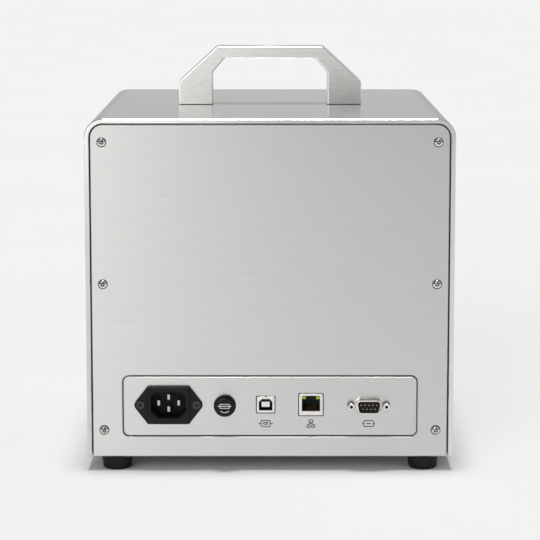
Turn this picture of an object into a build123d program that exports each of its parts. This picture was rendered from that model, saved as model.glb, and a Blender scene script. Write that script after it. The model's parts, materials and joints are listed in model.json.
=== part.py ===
from build123d import *
import math
import os

# A table-top autorefractor: a stainless box with a carry handle, its connectors on the rear,
# and a chin rest, forehead rest and measuring window on the patient's side.
# +X is to the right seen from the rear, +Y points to the patient, +Z is up, millimetres.
# Y is measured from the middle of the case while modelling. Each file is then moved so that the
# origin is on the table, under the middle of the whole object.

# ---------------------------------------------------------------- driving dimensions
CASE_WIDTH = 260.0
CASE_DEPTH = 300.0
CASE_TOP = 251.0
FOOT_HEIGHT = 10.0
COVER_THICKNESS = 3.2
COVER_RADIUS = 13.0
PANEL_GAP = 0.8
PANEL_THICKNESS = 2.0
PANEL_INSET = 1.0
PANEL_BOTTOM = FOOT_HEIGHT
SLIP = 0.05                      # radial clearance of a running fit
AIR = 0.4                        # smallest gap between parts that only pass each other

HALF_WIDTH = CASE_WIDTH / 2
HALF_DEPTH = CASE_DEPTH / 2
INNER_HALF_WIDTH = HALF_WIDTH - COVER_THICKNESS
INNER_TOP = CASE_TOP - COVER_THICKNESS
PANEL_HALF_WIDTH = INNER_HALF_WIDTH - PANEL_GAP
PANEL_TOP = INNER_TOP - PANEL_GAP
PANEL_RADIUS = COVER_RADIUS - COVER_THICKNESS - PANEL_GAP
FACE_Y = HALF_DEPTH - PANEL_INSET          # outer face of either end panel, as a distance
BACK_Y = FACE_Y - PANEL_THICKNESS          # inner face of either end panel, as a distance
REAR_FACE = -FACE_Y
REAR_BACK = -BACK_Y

# rear panel screws, in columns near the edges
SCREW_X = 117.9
SCREW_HEIGHTS = (29.3, 134.2, 234.6)
SCREW_HEAD_RADIUS = 3.5
SCREW_HEAD_HEIGHT = 2.2
SCREW_SEAT_DEPTH = 0.4
SCREW_SEAT_GAP = 0.35
SCREW_SHANK_RADIUS = 1.5
SCREW_LENGTH = 12.0

# inner frame
POST_SIZE = 12.0
POST_TOP = 240.0
FLOOR_TOP = PANEL_BOTTOM + 2.0
FLANGE_TOP = 40.0
RAIL_HEIGHT = 12.0
POST_Y = BACK_Y - POST_SIZE / 2

# feet
FOOT_X = 109.5
FOOT_Y = 138.0
FOOT_RADIUS = 11.35

# carry handle
HANDLE_HALF_WIDTH = 68.8
HANDLE_LEG = 25.8
HANDLE_HEIGHT = 43.6
HANDLE_BAR = 8.7
HANDLE_THICKNESS = 28.0
HANDLE_Y = -4.0
HANDLE_SCREW_PITCH = 14.0
BRIDGE_THICKNESS = 3.0

# connector plate, inset in the rear panel
PLATE_HALF_WIDTH = 104.1
PLATE_BOTTOM = 25.4
PLATE_TOP = 68.0
PLATE_RADIUS = 4.0
PLATE_GAP = 0.7
PLATE_FLANGE = 8.0
PORT_Z = 47.7
INLET_X = -72.1
FUSE_X = -32.1
USB_X = -3.1
NETWORK_X = 29.1
SERIAL_X = 70.2
SERIAL_Z = 46.8
JACKSCREW_PITCH = 24.99
BOARD_TOP = 39.5
BOARD_THICKNESS = 1.6

# optics and stages
EYE_Z = 165.0
BENCH_Z = 80.0
BENCH_THICKNESS = 4.0
X_ROD_Z = 102.0
X_ROD_Y = 55.0
X_ROD_RADIUS = 4.0
LIFT_Y = -40.0
LIFT_ROD_X = 22.0
DEPTH_ROD_Z = 139.5
DEPTH_ROD_X = 20.0
HEAD_HALF_WIDTH = 24.0
HEAD_HALF_HEIGHT = 21.0
HEAD_REAR = -5.0
HEAD_FRONT = 105.0

# window, forehead rest and chin rest on the patient's side
WINDOW_HALF_WIDTH = 76.0
WINDOW_HALF_HEIGHT = 39.0
FOREHEAD_Z = 224.0
CHIN_Y = 165.0
CHIN_ROD_X = 18.0
CHIN_REST_Z = 40.0
CHIN_BLOCK_HEIGHT = 16.0
CHIN_TOP_BRACKET_Z = 104.0
CHIN_ROD_RADIUS = 4.0
CHIN_SCREW_RADIUS = 3.5
CHIN_CUP_Y = CHIN_Y + 32
CHIN_CUP_SIZE = (66.0, 42.0, 16.0)
BUTTON_X = 95.0
BUTTON_Z = 40.0
BUTTON_RADIUS = 7.5
BUTTON_BORE = 9.0
LIGHT_RISE = 22.0


# ---------------------------------------------------------------- helpers
def block(x_range, y_range, z_range):
    """A box between two limits on each axis."""
    limits = (x_range, y_range, z_range)
    sizes = [high - low for low, high in limits]
    middle = [(low + high) / 2 for low, high in limits]
    return Pos(*middle) * Box(*sizes)


def rod_x(radius, x_range, y, z):
    length = x_range[1] - x_range[0]
    return Pos(sum(x_range) / 2, y, z) * Rot(0, 90, 0) * Cylinder(radius, length)


def rod_y(radius, y_range, x, z):
    length = y_range[1] - y_range[0]
    return Pos(x, sum(y_range) / 2, z) * Rot(90, 0, 0) * Cylinder(radius, length)


def rod_z(radius, z_range, x, y):
    length = z_range[1] - z_range[0]
    return Pos(x, y, sum(z_range) / 2) * Cylinder(radius, length)


def along_y(outline, y_range):
    """Extrude an outline drawn in X and Z from one Y to another."""
    plane = Plane(origin=(0, y_range[0], 0), x_dir=(1, 0, 0), z_dir=(0, -1, 0))
    return extrude(plane * outline, amount=-(y_range[1] - y_range[0]))


def rounded(x, z, width, height, radius):
    return Pos(x, z) * RectangleRounded(width, height, radius)


def polygon(points):
    return make_face(Polyline(*points, close=True))


def mirrored(right):
    """A closed outline from the points of its right half."""
    return polygon(right + [(-x, z) for x, z in reversed(right)])


def group(solids):
    """Separate solids that share one node."""
    flat = []
    for item in solids:
        flat.extend(item.solids())
    return Compound(children=flat)


def arch_outline(half_width, bottom, top, top_radius, bottom_radius):
    """A panel outline: rounded upper corners, nearly square lower ones."""
    shape = Pos(0, (bottom + top) / 2) * Rectangle(2 * half_width, top - bottom)
    upper = shape.vertices().group_by(Axis.Y)[-1]
    shape = fillet(upper, top_radius)
    lower = shape.vertices().group_by(Axis.Y)[0]
    return fillet(lower, bottom_radius)


def torx_recess(depth, y_head):
    """A six-lobe socket with a security pin, open towards -Y."""
    lobe_reach = 1.3
    lobes = Circle(1.2)
    for index in range(6):
        angle = math.radians(60 * index + 30)
        lobes += Pos(lobe_reach * math.cos(angle), lobe_reach * math.sin(angle)) * Circle(0.42)
    return along_y(lobes - Circle(0.5), (y_head, y_head + depth))


def panel_screw():
    """A domed security screw; its head sits on y = 0 and its shank points along +Y."""
    sphere_radius = (SCREW_HEAD_RADIUS ** 2 + SCREW_HEAD_HEIGHT ** 2) / (2 * SCREW_HEAD_HEIGHT)
    ball = Pos(0, sphere_radius - SCREW_HEAD_HEIGHT, 0) * Sphere(sphere_radius)
    head = ball & rod_y(SCREW_HEAD_RADIUS - 0.02, (-SCREW_HEAD_HEIGHT, 0), 0, 0)
    head -= torx_recess(1.5, -SCREW_HEAD_HEIGHT)
    return head + rod_y(SCREW_SHANK_RADIUS, (-0.2, SCREW_LENGTH - SCREW_SEAT_DEPTH), 0, 0)


def screw_places():
    return [(side * SCREW_X, height) for side in (-1, 1) for height in SCREW_HEIGHTS]


# ---------------------------------------------------------------- case
def outer_cover():
    """The wrap-round cover: two sides and the top in one bent sheet."""
    outer = arch_outline(HALF_WIDTH, FOOT_HEIGHT, CASE_TOP, COVER_RADIUS, 1.5)
    inner_radius = COVER_RADIUS - COVER_THICKNESS
    inner = arch_outline(INNER_HALF_WIDTH, 0, INNER_TOP, inner_radius, 0.5)
    shell = outer - inner
    feet_of_walls = shell.vertices().filter_by_position(Axis.Y, FOOT_HEIGHT - 0.01, FOOT_HEIGHT + 0.01)
    inner_ends = [corner for corner in feet_of_walls if abs(corner.X) < INNER_HALF_WIDTH + 0.1]
    shell = fillet(inner_ends, 1.2)
    cover = along_y(shell, (-HALF_DEPTH, HALF_DEPTH))
    rims = cover.edges().group_by(Axis.Y)
    cover = chamfer(list(rims[0]) + list(rims[-1]), 0.45)
    for x, y in handle_screw_places():
        cover -= rod_z(2.8, (INNER_TOP - 1, CASE_TOP + 1), x, y)
    for screw in cover_screw_solids(socket=False):
        cover -= screw
    return cover


def end_panel(cuts):
    """One end panel, drawn as the rear one, with a bright bevel round its face."""
    outline = arch_outline(PANEL_HALF_WIDTH, PANEL_BOTTOM, PANEL_TOP, PANEL_RADIUS, 1.0)
    panel = along_y(outline, (REAR_FACE, REAR_BACK))
    panel = chamfer(panel.edges().group_by(Axis.Y)[0], 0.5)
    for cut in cuts:
        panel -= cut
    for x, z in screw_places():
        panel -= rod_y(SCREW_SHANK_RADIUS + 0.2, (REAR_FACE - 1, REAR_BACK + 1), x, z)
        seat = (REAR_FACE - 1, REAR_FACE + SCREW_SEAT_DEPTH)
        panel -= rod_y(SCREW_HEAD_RADIUS + SCREW_SEAT_GAP, seat, x, z)
    return panel


def stud_places():
    middle = PLATE_FLANGE / 2 + PLATE_GAP
    rows = (PLATE_BOTTOM - middle, PLATE_TOP + middle)
    return [(x, z) for x in (-60.0, 60.0) for z in rows]


def plate_outline(grow):
    height = PLATE_TOP - PLATE_BOTTOM
    middle = (PLATE_TOP + PLATE_BOTTOM) / 2
    return rounded(0, middle, 2 * (PLATE_HALF_WIDTH + grow), height + 2 * grow, PLATE_RADIUS + grow)


def rear_panel():
    opening = along_y(plate_outline(PLATE_GAP), (REAR_FACE - 1, REAR_BACK + 1))
    bevel = extrude(
        Plane(origin=(0, REAR_FACE, 0), x_dir=(1, 0, 0), z_dir=(0, -1, 0)) * plate_outline(PLATE_GAP + 0.5),
        amount=-0.5,
        taper=45,
    )
    panel = end_panel([opening, bevel])
    for x, z in stud_places():
        panel += rod_y(1.5, (REAR_BACK - 0.5, REAR_BACK + 7), x, z)
    return panel


def front_panel():
    window = rounded(0, EYE_Z, 2 * WINDOW_HALF_WIDTH, 2 * WINDOW_HALF_HEIGHT, 8)
    cuts = [
        along_y(window, (REAR_FACE - 1, REAR_BACK + 1)),
        rod_y(BUTTON_BORE, (REAR_FACE - 1, REAR_BACK + 1), BUTTON_X, BUTTON_Z),
        rod_y(2.0, (REAR_FACE - 1, REAR_BACK + 1), BUTTON_X, BUTTON_Z + LIGHT_RISE),
    ]
    for x, z in chin_plate_screw_places() + forehead_screw_places():
        cuts.append(rod_y(2.2, (REAR_FACE - 1, REAR_BACK + 1), x, z))
    return mirror(end_panel(cuts), about=Plane.XZ)


def base_plate():
    """A folded tray that carries the frame, the boards and the feet."""
    tray = block((-126.4, 126.4), (-BACK_Y, BACK_Y), (PANEL_BOTTOM, FLOOR_TOP))
    for side in (-1, 1):
        wall = sorted((side * 124.9, side * 126.4))
        tray += block(wall, (-130, 130), (FLOOR_TOP - 1, FLANGE_TOP))
    for x, y in foot_places():
        tray -= rod_z(2.0, (PANEL_BOTTOM - 1, FLOOR_TOP + 1), x, y)
    for screw in cover_screw_solids():
        tray -= screw
    for screw in post_screw_solids():
        tray -= screw
    for row in range(9):
        x = -40 + 10 * row
        tray -= block((x - 1.5, x + 1.5), (-35, 5), (PANEL_BOTTOM - 1, FLOOR_TOP + 1))
    return tray


def post_places():
    return [(x * SCREW_X, y * POST_Y) for x in (-1, 1) for y in (-1, 1)]


def post_solids():
    posts = []
    half = POST_SIZE / 2
    for x, y in post_places():
        post = block((x - half, x + half), (y - half, y + half), (FLOOR_TOP, POST_TOP))
        for height in SCREW_HEIGHTS:
            post -= rod_y(SCREW_SHANK_RADIUS, (-FACE_Y, -FACE_Y + SCREW_LENGTH), x, height)
            post -= rod_y(SCREW_SHANK_RADIUS, (FACE_Y - SCREW_LENGTH, FACE_Y), x, height)
        for screw in post_screw_solids():
            post -= screw
        posts.append(post)
    return posts


def rail_solids():
    reach = POST_Y - POST_SIZE / 2
    rails = []
    for side in (-1, 1):
        x = side * SCREW_X
        rails.append(block((x - 5, x + 5), (-reach, reach), (POST_TOP - RAIL_HEIGHT, POST_TOP)))
    return rails


def handle_bridge():
    """A bent strap under the cover that takes the handle's pull to the top rails."""
    reach = SCREW_X - 5
    low_y = HANDLE_Y - HANDLE_THICKNESS / 2
    high_y = HANDLE_Y + HANDLE_THICKNESS / 2
    underside = INNER_TOP - BRIDGE_THICKNESS
    bridge = block((-reach, reach), (low_y, high_y), (underside, INNER_TOP))
    for side in (-1, 1):
        leg = sorted((side * reach, side * (reach - BRIDGE_THICKNESS)))
        bridge += block(leg, (low_y, high_y), (POST_TOP - RAIL_HEIGHT, underside + 1))
    for x, y in handle_screw_places():
        bridge -= rod_z(2.8, (underside - 1, INNER_TOP + 1), x, y)
    return bridge


def handle_screw_places():
    leg_x = HANDLE_HALF_WIDTH - HANDLE_LEG / 2
    half = HANDLE_SCREW_PITCH / 2
    return [(x, HANDLE_Y + y) for x in (-leg_x, leg_x) for y in (-half, half)]


def handle_screw_solids():
    head_top = INNER_TOP - BRIDGE_THICKNESS
    solids = []
    for x, y in handle_screw_places():
        head = rod_z(4.2, (head_top - 4, head_top), x, y)
        head -= Pos(x, y, head_top - 4) * extrude(RegularPolygon(2.3, 6), amount=2.5)
        solids.append(head + rod_z(2.5, (head_top - 0.5, CASE_TOP + 14), x, y))
    return solids


def carry_handle():
    """A rigid flat-faced bow with cut-off shoulders, rounded a little everywhere."""
    inner_x = HANDLE_HALF_WIDTH - HANDLE_LEG
    opening_top = HANDLE_HEIGHT - HANDLE_BAR
    right = [
        (HANDLE_HALF_WIDTH, 0),
        (HANDLE_HALF_WIDTH, 17.3),
        (HANDLE_HALF_WIDTH - 28.5, HANDLE_HEIGHT),
    ]
    outer = mirrored(right)
    corners = outer.vertices().filter_by(lambda corner: corner.Y > 1)
    outer = fillet(corners, 4.0)
    hole_right = [(inner_x, -1), (inner_x, opening_top - 10.3), (inner_x - 8.8, opening_top)]
    hole = mirrored(hole_right)
    inner_corners = hole.vertices().filter_by(lambda corner: corner.Y > 1)
    hole = fillet(inner_corners, 2.5)
    bow = Pos(0, CASE_TOP) * (outer - hole)
    half = HANDLE_THICKNESS / 2
    handle = along_y(bow, (HANDLE_Y - half, HANDLE_Y + half))
    ends = handle.edges().group_by(Axis.Y)
    long_edges = [edge for edge in list(ends[0]) + list(ends[-1]) if edge.center().Z > CASE_TOP + 0.1]
    handle = fillet(long_edges, 0.9)
    handle -= handle_shadow_line()
    for screw in handle_screw_solids():
        handle -= screw
    return handle


def handle_shadow_line():
    """A shallow rebate round the foot of each leg."""
    depth = 0.7
    height = (CASE_TOP - 0.1, CASE_TOP + 0.6)
    half = HANDLE_THICKNESS / 2
    legs_x = (HANDLE_HALF_WIDTH - HANDLE_LEG, HANDLE_HALF_WIDTH)
    across = (HANDLE_Y - half, HANDLE_Y + half)
    rebate = block((-HANDLE_HALF_WIDTH - 1, HANDLE_HALF_WIDTH + 1), (across[0] - 1, across[1] + 1), height)
    for side in (-1, 1):
        core_x = sorted((side * (legs_x[0] + depth), side * (legs_x[1] - depth)))
        rebate -= block(core_x, (across[0] + depth, across[1] - depth), height)
    return rebate


def cover_screw_solids(socket=True):
    """Countersunk screws through the cover's sides, flush with it."""
    solids = []
    for side in (-1, 1):
        for y in (-105.0, 0.0, 105.0):
            head = Pos(0, 0, -0.9) * Cone(SCREW_SHANK_RADIUS, 3.2, 1.8)
            screw = head + Pos(0, 0, -4.0) * Cylinder(SCREW_SHANK_RADIUS, 5.0)
            if socket:
                screw -= Pos(0, 0, -1.2) * extrude(RegularPolygon(1.3, 6), amount=1.3)
            solids.append(Pos(side * HALF_WIDTH, y, 26) * Rot(0, 90 * side, 0) * screw)
    return solids


def post_screw_solids():
    """Countersunk screws up through the base into the corner posts."""
    solids = []
    for x, y in post_places():
        head = Pos(x, y, PANEL_BOTTOM + 0.9) * Cone(3.3, 2.0, 1.8)
        solids.append(head + rod_z(2.0, (PANEL_BOTTOM + 1.5, FLOOR_TOP + 10), x, y))
    return solids


def foot_places():
    return [(x * FOOT_X, y * FOOT_Y) for x in (-1, 1) for y in (-1, 1)]


def rubber_foot():
    """A tapered foot with a rounded heel and a recess for its screw."""
    top = PANEL_BOTTOM
    with BuildSketch(Plane.XZ) as half_section:
        with BuildLine():
            Polyline((4.5, 0), (8.2, 0))
            ThreePointArc((8.2, 0), (9.72, 0.75), (10.35, 3.2))
            Polyline((10.35, 3.2), (FOOT_RADIUS, top), (2.4, top), (2.4, 4.5), (4.5, 4.5), (4.5, 0))
        make_face()
    return revolve(half_section.sketch, Axis.Z)


def rubber_feet():
    foot = rubber_foot()
    return group([Pos(x, y, 0) * foot for x, y in foot_places()])


def foot_screw_solids():
    solids = []
    for x, y in foot_places():
        head = rod_z(3.6, (2.2, 4.5), x, y)
        head -= Pos(x, y, 2.2) * extrude(Rectangle(4.4, 0.9) + Rectangle(0.9, 4.4), amount=1.2)
        solids.append(head + rod_z(2.0, (4.2, 17), x, y))
    return solids


def hidden_screw_solids():
    """Every screw that holds the frame, the cover, the handle, the feet and the front brackets."""
    solids = handle_screw_solids() + cover_screw_solids() + post_screw_solids()
    return solids + foot_screw_solids() + bracket_screw_solids()


def panel_screws():
    """The security screws of both end panels."""
    head_y = REAR_FACE + SCREW_SEAT_DEPTH
    rear = [Pos(x, head_y, z) * panel_screw() for x, z in screw_places()]
    front = [mirror(screw, about=Plane.XZ) for screw in rear]
    return group(rear + front)


# ---------------------------------------------------------------- connector plate and its ports
def inlet_outline():
    """Six-sided flange whose two tips wrap round the screws."""
    right = [(14.6, -13.8), (25.2, 0), (14.6, 13.8)]
    shape = mirrored(right)
    tips = shape.vertices().filter_by(lambda corner: abs(corner.Y) < 1)
    shape = fillet(tips, 4.0)
    shoulders = shape.vertices().filter_by(lambda corner: abs(corner.Y) > 13)
    return fillet(shoulders, 1.6)


def inlet_cavity(half_width, half_height):
    top_cut = 3.0
    low_cut = 5.0
    right = [
        (half_width - low_cut, -half_height),
        (half_width, -half_height + low_cut),
        (half_width, half_height - top_cut),
        (half_width - top_cut, half_height),
    ]
    return mirrored(right)


def inlet_screw_places():
    return [(INLET_X + side * 20.0, PORT_Z) for side in (-1, 1)]


def inlet_body():
    place = Pos(INLET_X, PORT_Z)
    flange = along_y(place * inlet_outline(), (REAR_FACE - 2.0, REAR_FACE))
    raised = along_y(place * rounded(0, 0, 31.0, 27.0, 1.0), (REAR_FACE - 3.0, REAR_FACE - 1.5))
    raised = chamfer(raised.edges().group_by(Axis.Y)[0], 0.9)
    behind = along_y(place * rounded(0, 0, 28.4, 22.4, 1.0), (REAR_FACE - 0.5, REAR_FACE + 24))
    body = flange + raised + behind
    body -= along_y(place * inlet_cavity(13.0, 9.8), (REAR_FACE - 3.5, REAR_FACE - 2.2))
    body -= along_y(place * inlet_cavity(12.4, 9.2), (REAR_FACE - 2.5, REAR_FACE + 15))
    for blade in blade_solids():
        body -= blade
    for x, z in inlet_screw_places():
        body -= rod_y(3.3, (REAR_FACE - 3, REAR_FACE - 1.0), x, z)
        body -= rod_y(1.6, (REAR_FACE - 3, REAR_FACE + 1), x, z)
    return body


def blade_solids():
    """Four flat contacts, rounded at the tips, with tabs out at the back."""
    places = ((-7.1, 0.7), (7.1, 0.7), (0.0, 5.0), (0.0, -3.7))
    solids = []
    for x, z in places:
        outline = rounded(INLET_X + x, PORT_Z + z, 1.8, 3.7, 0.3)
        solids.append(along_y(outline, (REAR_FACE + 2.5, REAR_FACE + 31)))
    return solids


def inlet_screws():
    solids = []
    for x, z in inlet_screw_places():
        head = rod_y(2.9, (REAR_FACE - 2.3, REAR_FACE - 1.0), x, z)
        cross = Pos(x, z) * (Rectangle(3.2, 0.8) + Rectangle(0.8, 3.2))
        head -= along_y(cross, (REAR_FACE - 2.4, REAR_FACE - 1.5))
        solids.append(head + rod_y(1.5, (REAR_FACE - 1.1, REAR_FACE + 8), x, z))
    return group(solids)


# the fuse holder's own driving sizes
FUSE_Z = 47.1
FUSE_BORE = 6.3
FUSE_CAP_FRONT = REAR_FACE - 7.5
FUSE_CAP_BACK = REAR_FACE + 11.0
FUSE_LINK = (REAR_FACE + 7.5, REAR_FACE + 27.5)


def fuse_holder():
    flange = rod_y(7.9, (REAR_FACE - 2.4, REAR_FACE), FUSE_X, FUSE_Z)
    flange = fillet(flange.edges().group_by(Axis.Y)[0], 0.8)
    barrel = rod_y(7.0, (REAR_FACE - 1, FUSE_LINK[1] + 3.5), FUSE_X, FUSE_Z)
    holder = flange + barrel
    holder -= rod_y(FUSE_BORE, (REAR_FACE - 4, FUSE_CAP_BACK + AIR), FUSE_X, FUSE_Z)
    holder -= rod_y(3.1, (REAR_FACE, FUSE_LINK[1] + 5), FUSE_X, FUSE_Z)
    return holder


def fuse_contact():
    """The brass end contact, with its tag outside the barrel."""
    plug = rod_y(3.1, (FUSE_LINK[1] + AIR, FUSE_LINK[1] + 3.5), FUSE_X, FUSE_Z)
    tag_y = (FUSE_LINK[1] + 3.5, FUSE_LINK[1] + 12)
    return plug + block((FUSE_X - 1.4, FUSE_X + 1.4), tag_y, (FUSE_Z - 0.4, FUSE_Z + 0.4))


def fuse_nut():
    outline = Pos(FUSE_X, FUSE_Z) * (RegularPolygon(9.5, 6) - Circle(7.0))
    return along_y(outline, (REAR_BACK, REAR_BACK + 4))


def fuse_cap():
    """The round cap that turns and pulls out with the fuse."""
    cap = rod_y(FUSE_BORE - SLIP, (FUSE_CAP_FRONT, FUSE_CAP_BACK), FUSE_X, FUSE_Z)
    cap = fillet(cap.edges().group_by(Axis.Y)[0], 0.7)
    for index in range(24):
        angle = math.radians(15 * index)
        x = FUSE_X + (FUSE_BORE + 0.15) * math.cos(angle)
        z = FUSE_Z + (FUSE_BORE + 0.15) * math.sin(angle)
        cap -= rod_y(0.35, (FUSE_CAP_FRONT + 1.2, REAR_FACE - 3.2), x, z)
    return cap - rod_y(2.6 + AIR, (FUSE_LINK[0] - AIR, FUSE_CAP_BACK + 1), FUSE_X, FUSE_Z)


def fuse_glass():
    return rod_y(2.3, (FUSE_LINK[0] + 1, FUSE_LINK[1] - 1), FUSE_X, FUSE_Z)


def fuse_end_solids():
    caps = []
    for low in (FUSE_LINK[0], FUSE_LINK[1] - 5):
        caps.append(rod_y(2.6, (low, low + 5), FUSE_X, FUSE_Z) - fuse_glass())
    return caps


def usb_opening(half_width, half_height):
    cut = 2.1
    right = [
        (half_width, -half_height),
        (half_width, half_height - cut),
        (half_width - cut, half_height),
    ]
    return mirrored(right)


def usb_shell():
    place = Pos(USB_X, PORT_Z)
    depth = (REAR_FACE - 0.3, REAR_FACE + 16)
    shell = along_y(place * rounded(0, 0, 12.8, 11.6, 0.8), depth)
    shell = fillet(shell.edges().group_by(Axis.Y)[0], 0.3)
    shell += block((USB_X - 6.0, USB_X + 6.0), (REAR_BACK + 1, depth[1]), (BOARD_TOP, PORT_Z - 5))
    shell -= along_y(place * usb_opening(4.8, 4.1), (REAR_FACE - 1, REAR_FACE + 10.5))
    return shell - usb_tongue() - usb_contacts()


def usb_tongue():
    outline = rounded(USB_X, PORT_Z, 5.8, 3.7, 0.2)
    tongue = along_y(outline, (REAR_FACE + 1.0, REAR_FACE + 13))
    return tongue - usb_contacts()


def usb_contacts():
    """Two flat springs on the tongue's top face and two under it."""
    strips = []
    for x in (-1.25, 1.25):
        for z in (-1.85, 1.65):
            strips.append(block((USB_X + x - 0.4, USB_X + x + 0.4),
                                (REAR_FACE + 2, REAR_FACE + 14),
                                (PORT_Z + z, PORT_Z + z + 0.2)))
    return group(strips)


def network_shield():
    """The folded metal shield; its front frames the opening."""
    depth = (REAR_FACE - 0.4, REAR_FACE + 20)
    shield = along_y(rounded(NETWORK_X, PORT_Z, 17.0, 15.6, 0.8), depth)
    shield = fillet(shield.edges().group_by(Axis.Y)[0], 0.3)
    shield -= block((NETWORK_X - 7.9, NETWORK_X + 7.9), (depth[0] + 0.6, depth[1] + 1), (40.5, 54.9))
    shield -= block((NETWORK_X - 6.5, NETWORK_X + 6.5), (depth[0] - 1, depth[0] + 1), (43.0, 54.2))
    return shield


def network_cavity():
    mouth = (REAR_FACE - 1, REAR_FACE + 13)
    cavity = block((NETWORK_X - 5.9, NETWORK_X + 5.9), mouth, (43.6, 50.9))
    cavity += block((NETWORK_X - 3.0, NETWORK_X + 3.0), mouth, (50.5, 52.6))
    cavity += block((NETWORK_X - 1.7, NETWORK_X + 1.7), mouth, (52.2, 53.9))
    return cavity


def network_housing():
    housing = block((NETWORK_X - 7.9, NETWORK_X + 7.9), (REAR_FACE + 0.2, REAR_FACE + 19.5), (40.5, 54.9))
    housing -= network_cavity()
    housing -= network_lights()
    return housing - network_contacts()


def network_lights():
    lights = []
    for side in (-1, 1):
        x = NETWORK_X + side * 5.1
        lights.append(block((x - 1.4, x + 1.4), (REAR_FACE + 0.1, REAR_FACE + 4), (51.8, 53.8)))
    return group(lights)


def network_contacts():
    """Eight gold wires at the bottom of the socket, standing up at their tips."""
    wires = []
    for index in range(8):
        x = NETWORK_X + 1.02 * (index - 3.5)
        wire = block((x - 0.2, x + 0.2), (REAR_FACE + 3, REAR_FACE + 16), (43.3, 43.9))
        wires.append(wire + block((x - 0.2, x + 0.2), (REAR_FACE + 8, REAR_FACE + 8.6), (43.5, 44.8)))
    return group(wires)


def d_outline(width, height, radius):
    """The wide-side-up D shape of a serial connector."""
    lean = height * math.tan(math.radians(10)) / 2
    half = width / 2
    right = [(half - 2 * lean, -height / 2), (half, height / 2)]
    shape = mirrored(right)
    return fillet(shape.vertices(), radius)


SERIAL_SHELL_FRONT = REAR_FACE - 5.8


def serial_shell():
    """The male shell with its mounting flange behind the plate."""
    place = Pos(SERIAL_X, SERIAL_Z)
    outline = d_outline(18.3, 10.0, 2.8) - d_outline(16.7, 8.4, 2.1)
    shell = along_y(place * outline, (SERIAL_SHELL_FRONT, REAR_BACK + 0.8))
    flange = along_y(place * rounded(0, 0, 30.8, 12.5, 1), (REAR_BACK, REAR_BACK + 0.8))
    flange -= along_y(place * d_outline(16.7, 8.4, 2.1), (REAR_BACK - 1, REAR_BACK + 2))
    for x, z in jackscrew_places():
        flange -= rod_y(1.6, (REAR_BACK - 1, REAR_BACK + 2), x, z)
    return shell + flange


def serial_insulator():
    place = Pos(SERIAL_X, SERIAL_Z)
    front = along_y(place * d_outline(16.7, 8.4, 2.1), (REAR_FACE - 1.2, REAR_BACK + 0.8))
    half = 15.2
    rear = block((SERIAL_X - half, SERIAL_X + half), (REAR_BACK + 0.8, REAR_BACK + 13), (BOARD_TOP, 52.9))
    for x, z in jackscrew_places():
        rear -= rod_y(1.6, (REAR_BACK, REAR_BACK + 9), x, z)
    return front + rear - serial_pins()


def serial_pins():
    pins = []
    for count, z in ((5, 1.42), (4, -1.42)):
        for index in range(count):
            x = SERIAL_X + 2.77 * (index - (count - 1) / 2)
            pin = rod_y(0.5, (SERIAL_SHELL_FRONT + 0.8, REAR_BACK + 8), x, SERIAL_Z + z)
            pins.append(fillet(pin.edges().group_by(Axis.Y)[0], 0.35))
    return group(pins)


def jackscrew_places():
    return [(SERIAL_X + side * JACKSCREW_PITCH / 2, SERIAL_Z) for side in (-1, 1)]


def jackscrews():
    solids = []
    for x, z in jackscrew_places():
        head = rod_y(2.75, (REAR_FACE - 4.6, REAR_FACE), x, z)
        head = chamfer(head.edges().group_by(Axis.Y)[0], 0.6)
        screw = head + rod_y(1.5, (REAR_FACE - 0.5, REAR_BACK + 7), x, z)
        screw -= rod_y(1.15, (REAR_FACE - 5, REAR_FACE + 1.5), x, z)
        solids.append(screw)
    return group(solids)


def connector_plate():
    """The inset plate with the port cut-outs; its flange backs the rear panel."""
    face = along_y(plate_outline(0), (REAR_FACE, REAR_BACK))
    face = chamfer(face.edges().group_by(Axis.Y)[0], 0.45)
    height = PLATE_TOP - PLATE_BOTTOM + 2 * PLATE_FLANGE
    middle = (PLATE_TOP + PLATE_BOTTOM) / 2
    width = 2 * (PLATE_HALF_WIDTH + 5)
    flange = along_y(rounded(0, middle, width, height, 4), (REAR_BACK, REAR_BACK + 1.2))
    clear = (REAR_FACE - 1, REAR_BACK + 3)
    flange -= along_y(rounded(0, middle, 2 * (PLATE_HALF_WIDTH - 6), height - 28, 2), clear)
    plate = face + flange
    plate -= along_y(rounded(INLET_X, PORT_Z, 28.8, 22.8, 1.2), clear)
    plate -= rod_y(7.0, clear, FUSE_X, FUSE_Z)
    plate -= along_y(rounded(USB_X, PORT_Z, 14.0, 12.8, 1.2), clear)
    plate -= along_y(rounded(NETWORK_X, PORT_Z, 18.2, 16.8, 1.2), clear)
    plate -= along_y(Pos(SERIAL_X, SERIAL_Z) * d_outline(20.6, 12.6, 3.8), clear)
    for x, z in inlet_screw_places() + jackscrew_places():
        plate -= rod_y(1.6, clear, x, z)
    for x, z in stud_places():
        plate -= rod_y(1.7, clear, x, z)
    return plate


def plate_nut_solids():
    nuts = []
    for x, z in stud_places():
        outline = Pos(x, z) * (RegularPolygon(3.18, 6) - Circle(1.5))
        nuts.append(along_y(outline, (REAR_BACK + 1.2, REAR_BACK + 3.6)))
    return nuts


# ---------------------------------------------------------------- electronics
IO_BOARD_X = (-14.0, 90.0)
IO_BOARD_Y = (REAR_BACK + 0.6, -95.0)
MAIN_BOARD_X = (-10.0, 100.0)
MAIN_BOARD_Y = (-80.0, 60.0)
MAIN_BOARD_Z = 29.0
SUPPLY_X = (-105.0, -35.0)
SUPPLY_Y = (-88.0, 40.0)


def inset_corners(x_range, y_range, inset):
    xs = (x_range[0] + inset, x_range[1] - inset)
    ys = (y_range[0] + inset, y_range[1] - inset)
    return [(x, y) for x in xs for y in ys]


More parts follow.
